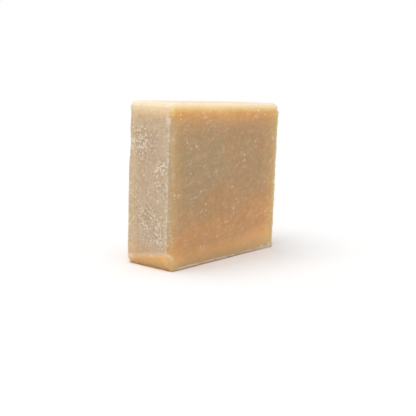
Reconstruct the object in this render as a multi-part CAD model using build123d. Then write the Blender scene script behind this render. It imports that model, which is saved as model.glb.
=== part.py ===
from build123d import *
import os

# Hand-cut bar of soap, standing on its long narrow face.
# Millimetres, +Z up. The origin is the centre of the base. X runs along the two broad faces and
# Y through the thickness. The broad faces are the two wire cuts, front at -Y and back at +Y.
# The end at -X is the coarse outer skin of the poured loaf. A blade has pared its four edges,
# and more lightly the other long edges of the bar. Every edge that is left is a little rubbed.

# Overall size of the bar
WIDTH = 76.6        # along X
THICKNESS = 26.2    # along Y: one slice of the loaf
HEIGHT = 72.0       # along Z

# Upright corners of the coarse end
FRONT_CORNER_ON_END = 1.9     # width of the paring on the coarse end, along Y
FRONT_CORNER_ON_CUT = 2.4     # its width on the front cut, along X
BACK_CORNER = 1.4             # paring at the back, equal both ways

# Upright corners of the far end, front and back
FAR_CORNER = 0.5

# Top edges of the two ends, pared to a steep slope
COARSE_TOP_DROP = 3.4         # along Z
COARSE_TOP_INSET = 1.3        # along X
COARSE_LOW_DROP = 5.0         # narrow strips that soften the coarse end's slope, below it
COARSE_LOW_INSET = 0.9
COARSE_HIGH_DROP = 2.5        # and above it
COARSE_HIGH_INSET = 2.1
FAR_TOP_DROP = 3.8
FAR_TOP_INSET = 2.2

# Long top edges, front and back
LONG_TOP = 1.3

# Bottom edge of the coarse end: one flat slope, much taller at the front than at the back
COARSE_FOOT_RISE_FRONT = 7.9  # along Z
COARSE_FOOT_RISE_BACK = 2.6
COARSE_FOOT_INSET_FRONT = 2.9  # along X, at the base

# The two back corners of the coarse end, at the foot and at the top, pared off aslant
BACK_CORNER_REACH = 3.4       # along X and along Y
BACK_CORNER_HEIGHT = 4.6      # along Z

# Rubbed radius of every edge
EDGE_ROUND = 0.45

LEFT, RIGHT = -WIDTH / 2, WIDTH / 2
FRONT, BACK = -THICKNESS / 2, THICKNESS / 2
MIDDLE = Vector(0, 0, HEIGHT / 2)


def pare(bar, first, second, third):
    """Slices the bar along the plane through three points and keeps the side with its middle."""
    along = Vector(*second) - Vector(*first)
    across = Vector(*third) - Vector(*first)
    outward = along.cross(across)
    if outward.dot(Vector(*first) - MIDDLE) < 0:
        outward = -outward
    blade = Plane(origin=first, x_dir=along, z_dir=outward)
    return split(bar, bisect_by=blade, keep=Keep.BOTTOM)


def pare_upright(bar, end, on_end, cut, on_cut):
    """Pares an upright corner between an end and a cut face, by a width on each."""
    inward_x = -1 if end > 0 else 1
    inward_y = -1 if cut > 0 else 1
    on_the_cut = end + inward_x * on_cut
    return pare(bar, (end, cut + inward_y * on_end, 0), (on_the_cut, cut, 0),
                (on_the_cut, cut, HEIGHT))


def pare_end_top(bar, end, drop, inset):
    """Pares the top edge of an end to a slope."""
    inward = -1 if end > 0 else 1
    return pare(bar, (end, FRONT, HEIGHT - drop), (end, BACK, HEIGHT - drop),
                (end + inward * inset, FRONT, HEIGHT))


def pare_long_top(bar, cut):
    """Pares a long top edge at forty-five degrees."""
    inward = -1 if cut > 0 else 1
    return pare(bar, (LEFT, cut, HEIGHT - LONG_TOP), (RIGHT, cut, HEIGHT - LONG_TOP),
                (LEFT, cut + inward * LONG_TOP, HEIGHT))


def pare_coarse_foot(bar):
    """Pares the bottom edge of the coarse end along its tapering slope."""
    return pare(bar, (LEFT, FRONT, COARSE_FOOT_RISE_FRONT), (LEFT, BACK, COARSE_FOOT_RISE_BACK),
                (LEFT + COARSE_FOOT_INSET_FRONT, FRONT, 0))


def pare_back_corner(bar, level):
    """Pares off the corner of the coarse end and the back cut at the base or the top."""
    inward = -1 if level > 0 else 1
    return pare(bar, (LEFT + BACK_CORNER_REACH, BACK, level), (LEFT, BACK - BACK_CORNER_REACH, level),
                (LEFT, BACK, level + inward * BACK_CORNER_HEIGHT))


def soap_bar():
    """The whole bar, in one solid."""
    bar = Pos(0, 0, HEIGHT / 2) * Box(WIDTH, THICKNESS, HEIGHT)
    bar = pare_upright(bar, LEFT, FRONT_CORNER_ON_END, FRONT, FRONT_CORNER_ON_CUT)
    bar = pare_upright(bar, LEFT, BACK_CORNER, BACK, BACK_CORNER)
    for cut in (FRONT, BACK):
        bar = pare_upright(bar, RIGHT, FAR_CORNER, cut, FAR_CORNER)
        bar = pare_long_top(bar, cut)
    bar = pare_end_top(bar, LEFT, COARSE_TOP_DROP, COARSE_TOP_INSET)
    bar = pare_end_top(bar, LEFT, COARSE_LOW_DROP, COARSE_LOW_INSET)
    bar = pare_end_top(bar, LEFT, COARSE_HIGH_DROP, COARSE_HIGH_INSET)
    bar = pare_end_top(bar, RIGHT, FAR_TOP_DROP, FAR_TOP_INSET)
    bar = pare_coarse_foot(bar)
    for level in (0, HEIGHT):
        bar = pare_back_corner(bar, level)
    return fillet(bar.edges(), EDGE_ROUND)


os.makedirs("parts", exist_ok=True)
bar = soap_bar()
bar.label = "soap_bar"
export_step(bar, "parts/soap_bar.step")
print("soap_bar volume", round(bar.volume / 1000, 1), "cm3")
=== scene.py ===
"""A hand-cut bar of soap, modelled on its CAD frame and laid out as a Blender add-on."""

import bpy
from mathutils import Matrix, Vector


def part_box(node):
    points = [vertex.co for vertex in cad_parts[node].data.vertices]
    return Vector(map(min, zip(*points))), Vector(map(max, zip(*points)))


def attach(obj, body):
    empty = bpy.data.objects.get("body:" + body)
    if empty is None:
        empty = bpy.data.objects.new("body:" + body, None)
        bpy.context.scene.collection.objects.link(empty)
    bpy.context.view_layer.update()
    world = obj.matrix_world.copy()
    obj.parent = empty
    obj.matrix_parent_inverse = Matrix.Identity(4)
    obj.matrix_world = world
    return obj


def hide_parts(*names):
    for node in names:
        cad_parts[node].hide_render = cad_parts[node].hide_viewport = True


bl_info = {
    "name": "Hand-cut bar of soap",
    "version": (1, 0, 0),
    "blender": (4, 5, 0),
    "location": "3D View > Sidebar > Soap",
    "description": "Models a hand-cut bar of soap and sets a pale studio around it",
    "category": "Object",
}

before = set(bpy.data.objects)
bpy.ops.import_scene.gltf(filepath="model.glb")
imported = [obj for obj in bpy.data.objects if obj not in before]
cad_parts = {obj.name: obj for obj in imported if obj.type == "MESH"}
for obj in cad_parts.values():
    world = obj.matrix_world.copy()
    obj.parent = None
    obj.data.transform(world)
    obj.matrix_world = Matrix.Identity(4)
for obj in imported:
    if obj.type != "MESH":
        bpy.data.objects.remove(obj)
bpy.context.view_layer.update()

import math

import bpy
from bpy.props import FloatProperty, FloatVectorProperty, PointerProperty
from mathutils import Matrix, Vector, noise

MM = 0.001
NODE = "soap_bar"
BODY = "root"
DRAG_SLOPE = math.radians(13)

LOW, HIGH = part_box(NODE)
LEFT, FRONT, BASE = LOW
RIGHT, BACK, TOP = HIGH
MIDDLE = (LOW + HIGH) / 2


def length(name, description, millimetres):
    """A size in metres, written in millimetres."""
    return FloatProperty(name=name, description=description, default=millimetres * MM,
                         unit="LENGTH", precision=5)


def colour(name, description, value):
    """A linear colour."""
    return FloatVectorProperty(name=name, description=description, default=value,
                               subtype="COLOR", min=0, max=1)


def angle(name, description, degrees):
    """An angle in radians, written in degrees."""
    return FloatProperty(name=name, description=description, default=math.radians(degrees),
                         subtype="ANGLE")


class SoapShape(bpy.types.PropertyGroup):
    """Sizes of the bar's parings and of its surface relief."""

    corner_on_end: length("Front corner on end", "Width of the front paring on the coarse end", 1.9)
    corner_on_cut: length("Front corner on cut", "Width of the front paring on the front cut", 2.4)
    back_corner: length("Back corner", "Paring of the back corner of the coarse end", 1.4)
    far_corner: length("Far corner", "Paring of both upright corners of the far end", 0.5)
    coarse_top_drop: length("Coarse top drop", "Height of the paring over the coarse end", 3.4)
    coarse_top_inset: length("Coarse top inset", "Depth of the paring over the coarse end", 1.3)
    coarse_low_drop: length("Coarse low drop", "Height of the strip under that paring", 5.0)
    coarse_low_inset: length("Coarse low inset", "Depth of the strip under that paring", 0.9)
    coarse_high_drop: length("Coarse high drop", "Height of the strip over that paring", 2.5)
    coarse_high_inset: length("Coarse high inset", "Depth of the strip over that paring", 2.1)
    far_top_drop: length("Far top drop", "Height of the paring over the far end", 3.8)
    far_top_inset: length("Far top inset", "Depth of the paring over the far end", 2.2)
    long_top: length("Long top edges", "Paring of the two long top edges", 1.3)
    foot_rise_front: length("Foot rise, front", "Height of the foot's slope at the front", 7.9)
    foot_rise_back: length("Foot rise, back", "Height of the foot's slope at the back", 2.6)
    foot_inset: length("Foot inset", "Depth of the foot's slope at the base", 2.9)
    corner_along: length("Back corners, along", "Reach of the parings off the two back corners", 3.4)
    corner_up: length("Back corners, up", "Height of the parings off the two back corners", 4.6)
    edge_round: length("Rubbed edges", "Radius of every edge", 0.45)
    grid: length("Grid", "Side of one face of the mesh, halved on the end and burrs", 0.55)
    waver: length("Waver", "How far the blade and wire wandered", 0.22)
    crumb_height: length("Crumb height", "Height of the crumbs on the coarse end", 0.36)
    burr_height: length("Burr height", "Height of the torn lips on the edges", 0.30)
    worn_depth: length("Worn depth", "How far the back edge of the end has crumbled", 0.80)
    wire_marks: length("Wire marks", "Height of the ridges on the cut faces", 0.06)


class SoapColours(bpy.types.PropertyGroup):
    """Colours of the soap, as linear values, some of them painted light, shade and sheen."""

    body: colour("Soap", "The cured soap", (0.680, 0.428, 0.198))
    warm: colour("Warm patches", "Oilier patches inside the soap", (0.640, 0.376, 0.150))
    # Painted warm bounce light about the foot, brighter and more orange than the soap.
    bounce_glow: colour("Fresh soap", "The clearer soap about the foot", (0.960, 0.560, 0.250))
    # Partly a dry dull film, partly painted sheen: the grey veil on the cut faces.
    bloom_and_sheen: colour("Bloom", "The dull veil on the cut faces", (0.470, 0.386, 0.240))
    skin: colour("Coarse skin", "The dry skin of the coarse end", (0.545, 0.510, 0.455))
    ash: colour("Soda ash", "The dry white bloom of crumbs and flecks", (0.840, 0.800, 0.770))
    # Painted light from above: the pale cream along the top.
    top_light: colour("Rim", "The drier, paler soap along the top", (0.865, 0.785, 0.670))
    frost: colour("Frost", "The bluish white of the torn corner", (0.700, 0.680, 0.740))
    # Torn edges about the foot, their pale pinkish cream partly a painted highlight of bounce light.
    lip_and_highlight: colour("Lips", "The thin pinkish cream of torn edges about the foot", (1.000, 0.850, 0.790))
    # Darker soap for the dark curds and the darker patch, and painted shade in the pits between crumbs.
    dark_soap_and_shade: colour("Pits", "The damp soap in pits and pores", (0.420, 0.250, 0.110))
    # Painted shade on edges and in the small hollow over the far nick.
    edge_shade: colour("Grime", "The dull film on edges that hands have rubbed", (0.330, 0.240, 0.210))


class StudioSettings(bpy.types.PropertyGroup):
    """Where the camera stands, and how strong the light is."""

    azimuth: angle("Azimuth", "Turn of the camera round the bar, from the front cut", -49.79)
    elevation: angle("Elevation", "Height of the camera over the horizon", 9.81)
    roll: angle("Roll", "Lean of the camera about its own axis", 1.94)
    distance: length("Distance", "From the camera to the point it looks at", 324.4)
    key: FloatProperty(name="Key", description="Strength of the overhead lamp", default=3.1)
    key_spread: angle("Key spread", "Width of the overhead lamp in the sky", 60)
    fill: FloatProperty(name="Fill", description="Strength of the light from all round", default=0.30)


# ---------------------------------------------------------------- modelling by hand, in code

def only(piece):
    """Selects one object and nothing else, and makes it the active one."""
    bpy.ops.object.select_all(action="DESELECT")
    piece.select_set(True)
    bpy.context.view_layer.objects.active = piece


def pare(piece, first, second, third):
    """Cuts away what lies outside the plane through three points."""
    outward = (Vector(second) - Vector(first)).cross(Vector(third) - Vector(first)).normalized()
    if outward.dot(Vector(first) - MIDDLE) < 0:
        outward.negate()
    only(piece)
    bpy.ops.object.mode_set(mode="EDIT")
    bpy.ops.mesh.select_all(action="SELECT")
    bpy.ops.mesh.bisect(plane_co=first, plane_no=outward, use_fill=True, clear_outer=True)
    bpy.ops.object.mode_set(mode="OBJECT")


def pare_upright(piece, end, on_end, cut, on_cut):
    """Pares an upright corner between an end and a cut face, by a width on each."""
    inward_x = 1 if end < MIDDLE.x else -1
    inward_y = 1 if cut < MIDDLE.y else -1
    on_the_cut = end + inward_x * on_cut
    pare(piece, (end, cut + inward_y * on_end, BASE), (on_the_cut, cut, BASE), (on_the_cut, cut, TOP))


def pare_end_top(piece, end, drop, inset):
    """Pares the top edge of an end to a slope."""
    inward = 1 if end < MIDDLE.x else -1
    pare(piece, (end, FRONT, TOP - drop), (end, BACK, TOP - drop), (end + inward * inset, FRONT, TOP))


def pare_long_top(piece, cut, width):
    """Pares a long top edge at forty-five degrees."""
    inward = 1 if cut < MIDDLE.y else -1
    pare(piece, (LEFT, cut, TOP - width), (RIGHT, cut, TOP - width), (LEFT, cut + inward * width, TOP))


def pare_corner(piece, end, cut, level, along, up):
    """Pares off the corner where an end, a cut and a level meet."""
    inward_x = 1 if end < MIDDLE.x else -1
    inward_y = 1 if cut < MIDDLE.y else -1
    inward_z = 1 if level < MIDDLE.z else -1
    pare(piece, (end + inward_x * along, cut, level), (end, cut + inward_y * along, level),
         (end, cut, level + inward_z * up))


def block(shape):
    """The pared bar with plain faces."""
    bpy.ops.object.select_all(action="DESELECT")
    bpy.ops.mesh.primitive_cube_add(size=1, location=MIDDLE, scale=HIGH - LOW)
    piece = bpy.context.active_object
    piece.name = "bar"
    bpy.ops.object.transform_apply(location=True, rotation=True, scale=True)
    pare_upright(piece, LEFT, shape.corner_on_end, FRONT, shape.corner_on_cut)
    pare_upright(piece, LEFT, shape.back_corner, BACK, shape.back_corner)
    for cut in (FRONT, BACK):
        pare_upright(piece, RIGHT, shape.far_corner, cut, shape.far_corner)
        pare_long_top(piece, cut, shape.long_top)
    pare_end_top(piece, LEFT, shape.coarse_top_drop, shape.coarse_top_inset)
    pare_end_top(piece, LEFT, shape.coarse_low_drop, shape.coarse_low_inset)
    pare_end_top(piece, LEFT, shape.coarse_high_drop, shape.coarse_high_inset)
    pare_end_top(piece, RIGHT, shape.far_top_drop, shape.far_top_inset)
    pare(piece, (LEFT, FRONT, BASE + shape.foot_rise_front), (LEFT, BACK, BASE + shape.foot_rise_back),
         (LEFT + shape.foot_inset, FRONT, BASE))
    for level in (BASE, TOP):
        pare_corner(piece, LEFT, BACK, level, shape.corner_along, shape.corner_up)
    bevel = piece.modifiers.new("rubbed edges", "BEVEL")
    bevel.width = shape.edge_round * 0.6
    bevel.segments = 2
    bpy.ops.object.modifier_apply(modifier=bevel.name)
    return piece


def fine_grid(piece, shape):
    """Turns the plain faces into an even grid, twice as fine on the coarse end and the burrs."""
    only(piece)
    piece.data.remesh_voxel_size = shape.grid
    piece.data.remesh_voxel_adaptivity = 0
    bpy.ops.object.voxel_remesh()
    for face in piece.data.polygons:
        at_end = face.center.x < LEFT + 0.9 * MM
        at_corner = face.center.x < LEFT + 2.6 * MM and face.center.y < FRONT + 2.2 * MM
        at_lip = face.center.z < BASE + 2.2 * MM and face.center.y < FRONT + 0.7 * MM
        face.select = at_end or at_corner or at_lip
    bpy.ops.object.mode_set(mode="EDIT")
    bpy.ops.mesh.select_mode(type="FACE")
    bpy.ops.mesh.subdivide(number_cuts=1)
    bpy.ops.object.mode_set(mode="OBJECT")


def paint(piece, name, weigh):
    """Paints a vertex group: weigh gives the weight of a point and its normal, from 0 to 1."""
    group = piece.vertex_groups.new(name=name)
    for vertex in piece.data.vertices:
        weight = weigh(vertex.co, vertex.normal)
        if weight > 0:
            group.add([vertex.index], min(weight, 1.0), "REPLACE")
    return name


def displace(piece, group, height, texture=None):
    """Moves the painted part out along its normals, evenly or by a texture about its middle."""
    modifier = piece.modifiers.new(group, "DISPLACE")
    modifier.vertex_group = group
    modifier.strength = height
    modifier.mid_level = 0.5 if texture else 0.0
    modifier.texture = texture
    modifier.texture_coords = "LOCAL"
    only(piece)
    bpy.ops.object.modifier_apply(modifier=modifier.name)


def flatten_base(piece):
    """Lifts whatever the relief pushed below the base back up to it."""
    for vertex in piece.data.vertices:
        vertex.co.z = max(vertex.co.z, BASE)


def keep_weights(piece, attribute, groups):
    """Adds vertex groups, each by its share, into an attribute that the material reads."""
    shares = {piece.vertex_groups[name].index: share for name, share in groups.items()}
    values = [min(1.0, sum(entry.weight * shares.get(entry.group, 0.0) for entry in vertex.groups))
              for vertex in piece.data.vertices]
    piece.data.attributes.new(attribute, "FLOAT", "POINT").data.foreach_set("value", values)


# ---------------------------------------------------------------- where each mark lies

def ramp(value, start, end):
    """0 at start, 1 at end, and smooth between, whichever is the larger."""
    t = min(max((value - start) / (end - start), 0.0), 1.0)
    return t * t * (3 - 2 * t)


def clouds(point, size, seed=0.0):
    """Soft noise, about 0 to 1, whose lumps are about size across."""
    return 0.5 + 0.8 * noise.noise(point / size + Vector((seed, seed, seed)))


def ridge(distance, width):
    """1 on a line, falling to 0 at half the width."""
    return max(0.0, 1 - (2 * distance / width) ** 2)


def off_the_base(point):
    """Everything but the base, which stays flat."""
    return ramp(point.z, BASE + 0.3 * MM, BASE + 2 * MM)


# Where the crumbs lie thick on the coarse end: Y and Z in millimetres from the middle of its
# foot, and the radius of the patch.
CRUMB_PATCHES = ((8.0, 55, 5.0), (3.0, 52, 5.0), (-7.5, 44, 4.0), (-7.5, 36, 4.0),
                 (-1.0, 25, 5.0), (-6.0, 19, 6.0), (1.5, 18, 4.0), (-8.0, 12, 3.0))


def coarse_skin(point, normal):
    """The coarse end, up to its pared borders."""
    if point.x > LEFT + 0.8 * MM:
        return 0.0
    return ramp(-normal.x, 0.6, 0.9) * (1 - foot_slope(normal))


def crumb_density(point):
    """How thick the crumbs lie on the coarse end, from 0 to 1."""
    place = Vector((point.y - MIDDLE.y, point.z - BASE)) / MM
    thick = max(math.exp(-((place - Vector((y, z))).length / radius) ** 2)
                for y, z, radius in CRUMB_PATCHES)
    borders = ramp(point.z, TOP - 3.5 * MM, TOP - 7 * MM) * ramp(point.z, BASE + 8 * MM, BASE + 13 * MM)
    patchy = ramp(clouds(point, 5 * MM, 2.2), 0.3, 0.8)
    return (0.35 * patchy + 0.65 * thick) * borders


def fleck_density(point, normal):
    """How thick the pale flecks lie, from 0 to 1: in soft patches on the front cut, even elsewhere."""
    if normal.y > -0.7:
        return 0.3
    return ramp(clouds(point, 7 * MM, 5.8), 0.5, 0.85)


def dull_skin(point, normal):
    """The grey of the coarse end and its back paring, weaker towards its top, and weaker towards its foot
    as painted bounce light.
    """
    if point.x > LEFT + 1.8 * MM:
        return 0.0
    side = ramp(-normal.x, 0.5, 0.7) * ramp(normal.y, -0.75, -0.55) * (1 - foot_slope(normal))
    top = 1 - 0.4 * ramp(point.z, TOP - 10 * MM, TOP - 3 * MM)
    # Easing the grey towards the foot is painted bounce light.
    foot = 1 - 0.45 * ramp(point.z, BASE + 13 * MM, BASE + 5 * MM)
    return side * top * foot


def crumbs(point, normal):
    """Dry crumbs on the coarse end: ragged lumps that run together where they lie thick."""
    skin = coarse_skin(point, normal)
    if skin <= 0:
        return 0.0
    density = crumb_density(point)
    lumps = 0.6 * clouds(point, 1.0 * MM, 4.1) + 0.4 * clouds(point, 0.5 * MM, 9.3)
    lowest = 0.80 - 0.42 * density
    return skin * ramp(lumps, lowest, lowest + 0.2)


def pits(point, normal):
    """Small holes between the crumbs where they lie thick."""
    skin = coarse_skin(point, normal)
    if skin <= 0:
        return 0.0
    return skin * crumb_density(point) * ramp(clouds(point, 0.8 * MM, 6.4), 0.48, 0.25)


def crumble(point, normal):
    """How crumbly the coarse end is, for the grain that is finer than the mesh."""
    skin = coarse_skin(point, normal)
    return skin * (0.2 + 0.8 * crumb_density(point)) if skin > 0 else 0.0


def light_from_above(point, normal):
    """Painted light from above: the soap paler along the top, reaching lower on the coarse end."""
    on_end = ramp(-normal.x, 0.5, 0.8)
    flat = ramp(normal.z, 0.8, 0.95)
    high = ramp(point.z, TOP - (5 + 4 * on_end) * MM, TOP - 0.3 * MM)
    return high * (1 - 0.35 * on_end) * (1 - 0.65 * flat)


def foot_slope(normal):
    """The slope pared under the coarse end."""
    return ramp(-normal.x, 0.7, 0.9) * ramp(-normal.z, 0.15, 0.28)


def foot_bounce_glow(point, normal):
    """Painted warm bounce light about the foot: the slope under the coarse end, and low on the sides."""
    wander = 2.5 * MM * (clouds(point, 9 * MM, 3.7) - 0.5)
    wander -= 3.5 * MM * ramp(point.x, MIDDLE.x, RIGHT - 12 * MM)
    low = ramp(point.z - BASE + wander, 11 * MM, 2 * MM) * (1 - 0.7 * ramp(-normal.x, 0.5, 0.9))
    return max(low, foot_slope(normal))


def paring_veil(point, shape):
    """The front paring of the coarse end, given the cuts' veil of dry film and painted sheen, and a
    little of the end's grey.
    """
    past_end = (point.x - LEFT) / shape.corner_on_cut + (point.y - FRONT) / shape.corner_on_end
    high = 1 - 0.7 * ramp(point.z, TOP - 12 * MM, TOP - 5 * MM)
    low = ramp(point.z, BASE + 6 * MM, BASE + 14 * MM)
    return ramp(past_end, 1.5, 1.1) * ramp(point.x, LEFT + 3.6 * MM, LEFT + 1.6 * MM) * high * low


def corner_burr(point, shape):
    """The torn lip between the coarse end and the front paring, with a torn wedge at its top."""
    across = (point.y - FRONT - shape.corner_on_end) - (point.x - LEFT) + 0.5 * MM
    width = (0.9 + 0.8 * ramp(clouds(point, 2.2 * MM, 1.7), 0.4, 0.8)) * MM
    ragged = 0.25 + 0.75 * ramp(clouds(point, 1.1 * MM, 5.5), 0.3, 0.7)
    ends = ramp(point.z, BASE + shape.foot_rise_front - MM, BASE + shape.foot_rise_front + 3 * MM)
    ends *= ramp(point.z, TOP - 6.2 * MM, TOP - 6.8 * MM)
    spread = max(0.0, point.z - (TOP - 10.6 * MM)) * 0.65
    wedge = ramp(across, -0.55 * spread - 0.4 * MM, -0.55 * spread + 0.2 * MM)
    wedge *= ramp(across, 0.6 * spread + 0.4 * MM, 0.6 * spread - 0.2 * MM)
    wedge *= ramp(spread, 0, MM) * (0.65 + 0.35 * ramp(clouds(point, 1.3 * MM, 8.2), 0.3, 0.6))
    near = ramp(math.hypot(point.x - LEFT, point.y - FRONT - shape.corner_on_end), 3.4 * MM, 2.8 * MM)
    return max(ridge(across, width) * ragged, wedge) * ends * near


def base_burr(point):
    """The dry lip along the front of the base, crumbly towards the far end; its pale colour is partly a
    painted highlight.
    """
    across = math.hypot(point.y - FRONT, point.z - BASE - 0.9 * MM)
    crumbly = ramp(point.x, RIGHT - 18 * MM, RIGHT - 8 * MM)
    broken = 0.45 + 0.55 * ramp(clouds(point, 4 * MM, 6.2), 0.25, 0.6)
    width = (1.2 + 3.2 * crumbly * ramp(clouds(point, 1.8 * MM, 3.3), 0.3, 0.7)) * MM
    clear = ramp(point.x, LEFT + 3 * MM, LEFT + 8 * MM)
    return ridge(across, width) * max(broken, crumbly) * clear


def far_nick(point, shape):
    """The torn nick where the far end's top paring meets the front cut, and small ones below it."""
    top = TOP - shape.far_top_drop
    nick = Vector((RIGHT - 0.4 * MM, FRONT + 0.2 * MM, top - 0.8 * MM))
    along = ridge(math.hypot(point.x - RIGHT, point.y - FRONT), 2.0 * MM) * off_the_base(point)
    along *= ramp(point.z, top, top - MM) * ramp(clouds(point, 1.4 * MM, 2.6), 0.5, 0.8)
    return max(ridge((point - nick).length, 2.6 * MM), along)


def far_notch(point, shape):
    """The small hollow just over that nick."""
    notch = Vector((RIGHT - 0.3 * MM, FRONT + 0.1 * MM, TOP - shape.far_top_drop + 0.7 * MM))
    return ridge((point - notch).length, 2.0 * MM)


def shaded_edges(point, normal):
    """Painted shade on the far front edge, and on the coarse end towards its back edge."""
    far = ramp(point.x, RIGHT - 6 * MM, RIGHT - 1.5 * MM) * ramp(point.y, FRONT + 3 * MM, FRONT + 1 * MM)
    back = ramp(point.y, BACK - 5.5 * MM, BACK - 1.5 * MM) * ramp(point.x, LEFT + 3 * MM, LEFT + 1 * MM)
    half = ramp(point.y, MIDDLE.y - 3 * MM, BACK - 5 * MM) * ramp(point.x, LEFT + 3 * MM, LEFT + 1 * MM)
    return max(0.8 * far, back, 0.25 * half) * ramp(point.z, TOP - 1 * MM, TOP - 4 * MM)


def dark_wander(point):
    """How far the border of the darker part wanders."""
    return 6 * MM * (clouds(point, 12 * MM, 7.4) - 0.5)


def dark_patch(point, normal):
    """The patch low on the front cut that is painted darker, and where the veil is thin."""
    if normal.y > -0.5:
        return 0.0
    wander = dark_wander(point)
    along = (point.x + wander - MIDDLE.x + 5 * MM) / (17 * MM)
    up = (point.z + wander - BASE - 29 * MM) / (12 * MM)
    return ramp(math.hypot(along, up), 1.0, 0.3)


def darkened(point, normal):
    """What is painted darker: the patch, and the half of the front cut towards the far end."""
    if normal.y > -0.5:
        return 0.0
    wander = dark_wander(point)
    half = ramp(point.z + wander, BASE + 20 * MM, BASE + 32 * MM)
    half *= ramp(point.z, TOP - 3 * MM, TOP - 12 * MM)
    half *= ramp(point.x + wander, MIDDLE.x - 6 * MM, MIDDLE.x + 8 * MM)
    return max(0.75 * half, dark_patch(point, normal))


def worn_back(point, normal):
    """The back edge of the coarse end, where pieces have crumbled off."""
    near = ramp(point.y - (point.x - LEFT), BACK - 4.5 * MM, BACK - 2 * MM)
    near *= ramp(point.x, LEFT + 4 * MM, LEFT + MM)
    if near <= 0:
        return 0.0
    high = ramp(point.z, BASE + 42 * MM, BASE + 54 * MM) * ramp(point.z, TOP - 1 * MM, TOP - 5 * MM)
    return near * high * (0.35 + 0.65 * clouds(Vector((0, 0, point.z)), 4 * MM, 1.3))


def foot_highlights(point, shape):
    """Painted highlights: a pale line where the foot's slope begins, and a streak across the front corner
    beside it.
    """
    to_front = (BACK - point.y) / (BACK - FRONT)
    edge = BASE + shape.foot_rise_back + (shape.foot_rise_front - shape.foot_rise_back) * to_front
    line = ridge(point.z - edge - 0.4 * MM, 2.6 * MM) * ramp(point.x, LEFT + 1.2 * MM, LEFT + 0.5 * MM)
    line *= 0.4 + 0.6 * ramp(clouds(point, 4 * MM, 2.9), 0.35, 0.65)
    fallen = BASE + shape.foot_rise_front - 0.8 * (point.x - LEFT)
    streak = ridge(point.z - fallen, 2.4 * MM) * ramp(point.y, FRONT + 4 * MM, FRONT + 1.5 * MM)
    streak *= ramp(point.x, LEFT + 4.5 * MM, LEFT + 1.5 * MM) * (0.4 + 0.6 * clouds(point, 1.5 * MM, 5.1))
    return max(line, streak)


def bloom_and_sheen(point, normal):
    """The dull veil over the upper part of the cut faces, thinner towards the far end: partly a dry film
    on the soap, partly painted sheen.
    """
    slant = point.z - BASE - 0.12 * (point.x - MIDDLE.x)
    wander = 8 * MM * (clouds(point, 14 * MM, 8.8) - 0.5)
    upper = ramp(slant + wander, 16 * MM, 34 * MM) * ramp(point.z, TOP - 2 * MM, TOP - 14 * MM)
    thin = 1 - 0.2 * ramp(point.x, MIDDLE.x - 14 * MM, MIDDLE.x + 4 * MM)
    thin *= 1 - 0.45 * dark_patch(point, normal)
    return ramp(abs(normal.y), 0.4, 0.8) * upper * thin


def wire_drag(point, normal):
    """Fine slanting ridges that the wire left on the cut faces."""
    face = ramp(abs(normal.y), 0.9, 0.99)
    if face <= 0:
        return 0.0
    across = point.z - 0.23 * point.x + 1.5 * MM * noise.noise(point / (25 * MM))
    lines = clouds(Vector((point.x / 18, 0, across)), 1.1 * MM, 4.4)
    return face * lines * ramp(clouds(point, 13 * MM, 6.1), 0.35, 0.75)


def soap_bar(shape):
    """The whole bar: pared block, fine grid, painted marks, and the relief that stands on them."""
    piece = block(shape)
    fine_grid(piece, shape)
    wander = bpy.data.textures.new("wander", "CLOUDS")
    wander.noise_scale = 15 * MM
    wander.noise_depth = 2
    paint(piece, "waver", lambda point, normal: off_the_base(point))
    paint(piece, "wire_drag", wire_drag)
    paint(piece, "bloom_and_sheen", bloom_and_sheen)
    paint(piece, "coarse", dull_skin)
    paint(piece, "flecked", fleck_density)
    paint(piece, "shaded_edges", shaded_edges)
    paint(piece, "darkened", darkened)
    paint(piece, "worn_back", worn_back)
    paint(piece, "foot_highlights", lambda point, normal: foot_highlights(point, shape))
    paint(piece, "pits", pits)
    paint(piece, "crumbs", crumbs)
    paint(piece, "crumble", crumble)
    paint(piece, "light_from_above", light_from_above)
    paint(piece, "foot_bounce_glow", foot_bounce_glow)
    paint(piece, "paring_veil", lambda point, normal: paring_veil(point, shape))
    paint(piece, "corner_burr", lambda point, normal: corner_burr(point, shape))
    paint(piece, "base_burr", lambda point, normal: base_burr(point))
    paint(piece, "far_nick", lambda point, normal: far_nick(point, shape))
    paint(piece, "far_notch", lambda point, normal: far_notch(point, shape))
    displace(piece, "waver", 2 * shape.waver, wander)
    displace(piece, "wire_drag", shape.wire_marks)
    displace(piece, "worn_back", -shape.worn_depth)
    displace(piece, "far_notch", -0.7 * shape.worn_depth)
    displace(piece, "pits", -0.5 * shape.crumb_height)
    displace(piece, "crumbs", shape.crumb_height)
    for burr in ("corner_burr", "base_burr", "far_nick"):
        displace(piece, burr, shape.burr_height)
    flatten_base(piece)
    keep_weights(piece, "ash", {"crumbs": 1.0, "far_nick": 0.9})
    keep_weights(piece, "frost", {"corner_burr": 1.0})
    # The base's torn edge partly, and the foot's lines wholly, painted highlight.
    keep_weights(piece, "lips_and_highlights", {"base_burr": 1.0, "foot_highlights": 0.7})
    keep_weights(piece, "dry_skin", {"coarse": 1.0, "paring_veil": 0.3})
    # The veil: partly a dry film, partly painted sheen.
    keep_weights(piece, "veil", {"bloom_and_sheen": 1.0, "paring_veil": 0.8})
    keep_weights(piece, "grain", {"crumble": 1.0})
    # Painted light from above, paling the soap towards the top.
    keep_weights(piece, "top_lightness", {"light_from_above": 0.6})
    keep_weights(piece, "fleck_share", {"flecked": 1.0})
    # Painted shade on the edges and in the hollow over the far nick.
    keep_weights(piece, "edge_shade", {"shaded_edges": 0.5, "far_notch": 0.6})
    # Darker in a patch low on the front cut and towards the far end.
    keep_weights(piece, "darkening", {"darkened": 0.2})
    # Painted warm bounce light about the foot.
    keep_weights(piece, "bounce_glow_share", {"foot_bounce_glow": 1.0})
    piece.vertex_groups.clear()
    bpy.ops.object.shade_smooth()
    return piece


# ---------------------------------------------------------------- materials

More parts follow.
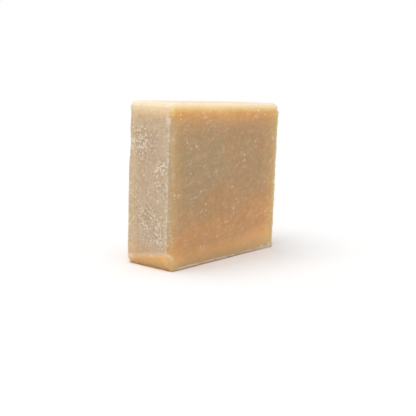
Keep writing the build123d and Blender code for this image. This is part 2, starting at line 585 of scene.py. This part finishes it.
class Nodes:
    """A material's node tree, with short calls to add and join its nodes."""

    def __init__(self, material):
        material.use_nodes = True
        self.tree = material.node_tree
        self.tree.nodes.clear()

    def add(self, kind, inputs=None, **settings):
        """Adds a node, sets its options, and sets or joins its inputs."""
        node = self.tree.nodes.new(kind)
        for key, value in settings.items():
            setattr(node, key, value)
        for key, value in (inputs or {}).items():
            self.put(node.inputs[key], value)
        return node

    def mix(self, factor, first, second):
        """A colour between two."""
        node = self.add("ShaderNodeMix", data_type="RGBA")
        for socket, value in zip(("Factor_Float", "A_Color", "B_Color"), (factor, first, second)):
            self.put(next(s for s in node.inputs if s.identifier == socket), value)
        return next(s for s in node.outputs if s.identifier == "Result_Color")

    def noise(self, place, scale, detail, roughness=0.5):
        """Noise with scale lumps in each metre."""
        return self.add("ShaderNodeTexNoise", {"Vector": place, "Scale": scale, "Detail": detail,
                                               "Roughness": roughness}).outputs[0]

    def maths(self, operation, first, second):
        """Two values worked into one."""
        return self.add("ShaderNodeMath", {0: first, 1: second}, operation=operation)

    def band(self, value, low, high, start=0.0, end=1.0):
        """A value stretched from one range to another, and held inside it."""
        return self.add("ShaderNodeMapRange", {"Value": value, "From Min": low, "From Max": high,
                                               "To Min": start, "To Max": end})

    def put(self, socket, value):
        """Sets a socket to a value, or joins it to another node's output."""
        if isinstance(value, bpy.types.NodeSocket):
            self.tree.links.new(value, socket)
        elif isinstance(value, bpy.types.Node):
            self.tree.links.new(value.outputs[0], socket)
        else:
            socket.default_value = value


GLOW_DEPTH = 30 * MM
GLOW_COLOUR = (1.0, 0.9, 0.5)


def rgba(value):
    """An opaque colour."""
    return (*value, 1.0)


def along_drag(nodes, place, stretch):
    """Coordinates that draw a pattern out along the way that the wire dragged."""
    return nodes.add("ShaderNodeMapping", {"Vector": place, "Rotation": (0, -DRAG_SLOPE, 0),
                                           "Scale": (stretch, 1, 1)}, vector_type="TEXTURE")


def soap_material(colours):
    """Cured soap: waxy and faintly translucent, mottled and flecked, with dry white ash, and with painted
    light, shade and sheen in its colour.
    """
    material = bpy.data.materials.new("cured_soap")
    nodes = Nodes(material)
    place = nodes.add("ShaderNodeTexCoord").outputs["Object"]
    ash, frost, lips_and_highlights, coarse, veil, grain, top_lightness, bounce_glow_share, share, edge_shade, darkening = (
        nodes.add("ShaderNodeAttribute", attribute_name=name).outputs["Fac"]
        for name in ("ash", "frost", "lips_and_highlights", "dry_skin", "veil", "grain", "top_lightness", "bounce_glow_share",
                     "fleck_share", "edge_shade", "darkening"))
    dragged = along_drag(nodes, place, 1.5)

    mottle = nodes.noise(dragged, 110.0, 4.0)
    tint = nodes.mix(nodes.band(mottle, 0.35, 0.65), rgba(colours.warm), rgba(colours.body))
    cloudy = nodes.noise(dragged, 150.0, 5.0, 0.6)
    thickness = nodes.maths("MULTIPLY", veil, nodes.band(cloudy, 0.34, 0.60, 0.60, 1.0))
    # The veil of dry film with painted sheen.
    veiled = nodes.mix(thickness, tint, rgba(colours.bloom_and_sheen))
    # Darker in a patch low on the front cut and towards the far end.
    darkened = nodes.mix(darkening, veiled, rgba(colours.dark_soap_and_shade))
    # Painted warm bounce light: the foot and the low sides brightened and warmed.
    bounce_lit = nodes.mix(bounce_glow_share, darkened, rgba(colours.bounce_glow))
    skinned = nodes.mix(nodes.maths("MULTIPLY", coarse, 0.85), bounce_lit, rgba(colours.skin))
    # Painted shade on edges and in the hollow over the far nick.
    edge_shaded = nodes.mix(edge_shade, skinned, rgba(colours.edge_shade))
    # Painted light from above along the top.
    top_lit = nodes.mix(top_lightness, edge_shaded, rgba(colours.top_light))

    plain = nodes.maths("MAXIMUM", top_lightness, nodes.maths("MULTIPLY", bounce_glow_share, 0.35))
    shown = nodes.band(plain, 0.0, 0.5, 1.0, 0.25)
    curd = nodes.noise(dragged, 480.0, 5.0, 0.72)
    pale_part = nodes.maths("MULTIPLY", shown, nodes.band(curd, 0.53, 0.78, 0.0, 0.45))
    dark_part = nodes.maths("MULTIPLY", shown, nodes.band(curd, 0.47, 0.25, 0.0, 0.50))
    pale_curd = nodes.mix(pale_part, top_lit, rgba(colours.ash))
    curdled = nodes.mix(dark_part, pale_curd, rgba(colours.dark_soap_and_shade))
    streaks = nodes.noise(along_drag(nodes, place, 14), 520.0, 3.0)
    streaky = nodes.maths("MULTIPLY", nodes.band(streaks, 0.56, 0.75, 0.0, 0.18),
                          nodes.band(nodes.noise(place, 60.0, 1.0), 0.48, 0.62, 0.1, 1.0))
    streaked = nodes.mix(nodes.maths("MULTIPLY", shown, streaky), curdled, rgba(colours.ash))
    specks = flecks(nodes, dragged, share)
    flecked = nodes.mix(nodes.maths("MULTIPLY", specks, 0.55), streaked, rgba(colours.ash))

    grain = nodes.maths("MAXIMUM", grain, nodes.maths("MULTIPLY", shown, 0.22))
    rough = nodes.noise(place, 1000.0, 3.0, 0.6)
    raised = nodes.maths("MULTIPLY", grain, nodes.band(rough, 0.52, 0.66))
    sunk = nodes.maths("MULTIPLY", grain, nodes.band(rough, 0.48, 0.34))
    grained = nodes.mix(nodes.maths("MULTIPLY", raised, 0.7), flecked, rgba(colours.ash))
    # Painted shade in the pits of the grain.
    pore_shaded = nodes.mix(nodes.maths("MULTIPLY", sunk, 0.75), grained, rgba(colours.dark_soap_and_shade))
    # Torn edges and painted highlights about the foot.
    lip_highlighted = nodes.mix(lips_and_highlights, pore_shaded, rgba(colours.lip_and_highlight))
    frosted = nodes.mix(frost, lip_highlighted, rgba(colours.frost))
    dusted = nodes.mix(ash, frosted, rgba(colours.ash))

    fine = nodes.noise(place, 1100.0, 4.0)
    skin_bump = nodes.add("ShaderNodeBump", {"Height": fine, "Strength": 0.3, "Distance": 0.3 * MM})
    grain_bump = nodes.add("ShaderNodeBump", {"Height": nodes.maths("SUBTRACT", raised, sunk),
                                              "Strength": 0.8, "Distance": 0.25 * MM,
                                              "Normal": skin_bump})
    dry = nodes.maths("MAXIMUM", nodes.maths("MAXIMUM", ash, lips_and_highlights), nodes.maths("MULTIPLY", coarse, 0.5))
    dry = nodes.maths("MAXIMUM", dry, frost)
    dry = nodes.maths("MAXIMUM", dry, nodes.maths("MULTIPLY", specks, 0.6))
    soap = nodes.add("ShaderNodeBsdfPrincipled", {
        "Base Color": dusted,
        "Roughness": nodes.band(nodes.maths("MAXIMUM", ash, coarse), 0.0, 1.0, 0.45, 0.8),
        "IOR": 1.45,
        "Subsurface Weight": nodes.band(dry, 0.0, 1.0, 1.0, 0.35),
        "Subsurface Radius": GLOW_COLOUR,
        "Subsurface Scale": GLOW_DEPTH,
        "Normal": grain_bump,
    })
    nodes.add("ShaderNodeOutputMaterial", {"Surface": soap})
    return material


def flecks(nodes, place, share):
    """Pale specks about a millimetre across, larger and more where their share is high."""
    ragged = nodes.noise(place, 900.0, 2.0).node
    shifted = nodes.add("ShaderNodeVectorMath", {0: ragged.outputs["Color"], 1: (0.9 * MM,) * 3},
                        operation="MULTIPLY")
    spread = nodes.add("ShaderNodeVectorMath", {0: place, 1: shifted}, operation="ADD")
    cells = nodes.add("ShaderNodeTexVoronoi", {"Vector": spread, "Scale": 640.0})
    luck = nodes.add("ShaderNodeSeparateColor", {"Color": cells.outputs["Color"]})
    lowest = nodes.band(share, 0.0, 1.0, 0.88, 0.15)
    lucky = nodes.band(nodes.maths("SUBTRACT", luck.outputs["Red"], lowest), 0.0, 0.4)
    size = nodes.maths("MULTIPLY", lucky, nodes.band(share, 0.0, 1.0, 0.28, 0.42))
    inside = nodes.maths("SUBTRACT", size, cells.outputs["Distance"])
    strength = nodes.band(luck.outputs["Green"], 0.0, 1.0, 0.4, 1.0)
    return nodes.maths("MULTIPLY", nodes.band(inside, 0.0, 0.12), strength)


def seen(nodes):
    """1 for camera, mirror and glass rays, and 0 for light that bounces on."""
    path = nodes.add("ShaderNodeLightPath")
    first = nodes.add("ShaderNodeMath", {0: path.outputs["Is Camera Ray"],
                                         1: path.outputs["Is Glossy Ray"]}, operation="MAXIMUM")
    return nodes.add("ShaderNodeMath", {0: first, 1: path.outputs["Is Transmission Ray"]},
                     operation="MAXIMUM")


FLOOR_SEEN = (0.8, 0.8, 0.8)
FLOOR_BOUNCE = (0.88, 0.69, 0.48)
FLOOR_SIZE = 6.0
KEY_TILT = (math.radians(-3), math.radians(-12), 0)
CAMERA_AIM = Vector((-1.19, -2.95, 22.77)) * MM
CAMERA_LENS = 59.76
CAMERA_CLIP = 0.01


def floor_material():
    """A pale floor that reads as white, still takes a shadow, and throws warm light back."""
    material = bpy.data.materials.new("pale_floor")
    nodes = Nodes(material)
    shown = nodes.add("ShaderNodeBsdfDiffuse", {"Color": rgba(FLOOR_SEEN)})
    bounce = nodes.add("ShaderNodeBsdfDiffuse", {"Color": rgba(FLOOR_BOUNCE)})
    mix = nodes.add("ShaderNodeMixShader", {0: seen(nodes), 1: bounce, 2: shown})
    nodes.add("ShaderNodeOutputMaterial", {"Surface": mix})
    return material


def white_world(fill):
    """A white surround to look at, and a weaker light from it."""
    world = bpy.data.worlds.new("white_surround")
    nodes = Nodes(world)
    shown = nodes.add("ShaderNodeBackground", {"Strength": 1.0})
    light = nodes.add("ShaderNodeBackground", {"Strength": fill})
    for background in (shown, light):
        background.inputs["Color"].default_value = rgba((1, 1, 1))
    mix = nodes.add("ShaderNodeMixShader", {0: seen(nodes), 1: light, 2: shown})
    nodes.add("ShaderNodeOutputWorld", {"Surface": mix})
    return world


# ---------------------------------------------------------------- operators

class SOAP_OT_stage(bpy.types.Operator):
    """Sets the pale floor, the soft light and the camera"""

    bl_idname = "soap.stage"
    bl_label = "Set the stage"
    bl_options = {"REGISTER", "UNDO"}

    def execute(self, context):
        studio = context.scene.soap_studio
        bpy.ops.object.select_all(action="DESELECT")
        bpy.ops.mesh.primitive_plane_add(size=FLOOR_SIZE, location=(0, 0, 0))
        floor = context.active_object
        floor.name = "floor"
        floor.data.materials.append(floor_material())
        context.scene.world = white_world(studio.fill)

        bpy.ops.object.light_add(type="SUN", location=(0, 0, 1))
        key = context.active_object
        key.name = "overhead_key"
        key.data.energy = studio.key
        key.data.angle = studio.key_spread
        key.rotation_euler = KEY_TILT

        turn = (Matrix.Rotation(studio.azimuth, 4, "Z")
                @ Matrix.Rotation(math.pi / 2 - studio.elevation, 4, "X")
                @ Matrix.Rotation(studio.roll, 4, "Z"))
        bpy.ops.object.camera_add()
        camera = context.active_object
        camera.name = "camera"
        camera.data.lens = CAMERA_LENS
        camera.data.clip_start = CAMERA_CLIP
        away = Matrix.Translation((0, 0, studio.distance))
        camera.matrix_world = Matrix.Translation(CAMERA_AIM) @ turn @ away
        context.scene.camera = camera
        context.scene.view_settings.view_transform = "Standard"
        return {"FINISHED"}


class SOAP_OT_bar(bpy.types.Operator):
    """Models the bar of soap and gives it its material"""

    bl_idname = "soap.bar"
    bl_label = "Cut the bar"
    bl_options = {"REGISTER", "UNDO"}

    def execute(self, context):
        piece = soap_bar(context.scene.soap_shape)
        piece.data.materials.append(soap_material(context.scene.soap_colours))
        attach(piece, BODY)
        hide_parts(NODE)
        return {"FINISHED"}


class SOAP_PT_sidebar(bpy.types.Panel):
    """Lists the bar's sizes and colours and the studio's settings"""

    bl_label = "Bar of soap"
    bl_idname = "SOAP_PT_sidebar"
    bl_space_type = "VIEW_3D"
    bl_region_type = "UI"
    bl_category = "Soap"

    def draw(self, context):
        for group, operator in (("soap_shape", None), ("soap_colours", SOAP_OT_bar),
                                ("soap_studio", SOAP_OT_stage)):
            settings = getattr(context.scene, group)
            for name in settings.__annotations__:
                self.layout.prop(settings, name)
            if operator:
                self.layout.operator(operator.bl_idname)


CLASSES = (SoapShape, SoapColours, StudioSettings, SOAP_OT_stage, SOAP_OT_bar, SOAP_PT_sidebar)


def register():
    for cls in CLASSES:
        bpy.utils.register_class(cls)
    bpy.types.Scene.soap_shape = PointerProperty(type=SoapShape)
    bpy.types.Scene.soap_colours = PointerProperty(type=SoapColours)
    bpy.types.Scene.soap_studio = PointerProperty(type=StudioSettings)


def unregister():
    del bpy.types.Scene.soap_studio, bpy.types.Scene.soap_colours, bpy.types.Scene.soap_shape
    for cls in reversed(CLASSES):
        bpy.utils.unregister_class(cls)


def main():
    """Registers the add-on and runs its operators."""
    register()
    bpy.ops.soap.stage()
    bpy.ops.soap.bar()


if __name__ == "__main__":
    main()
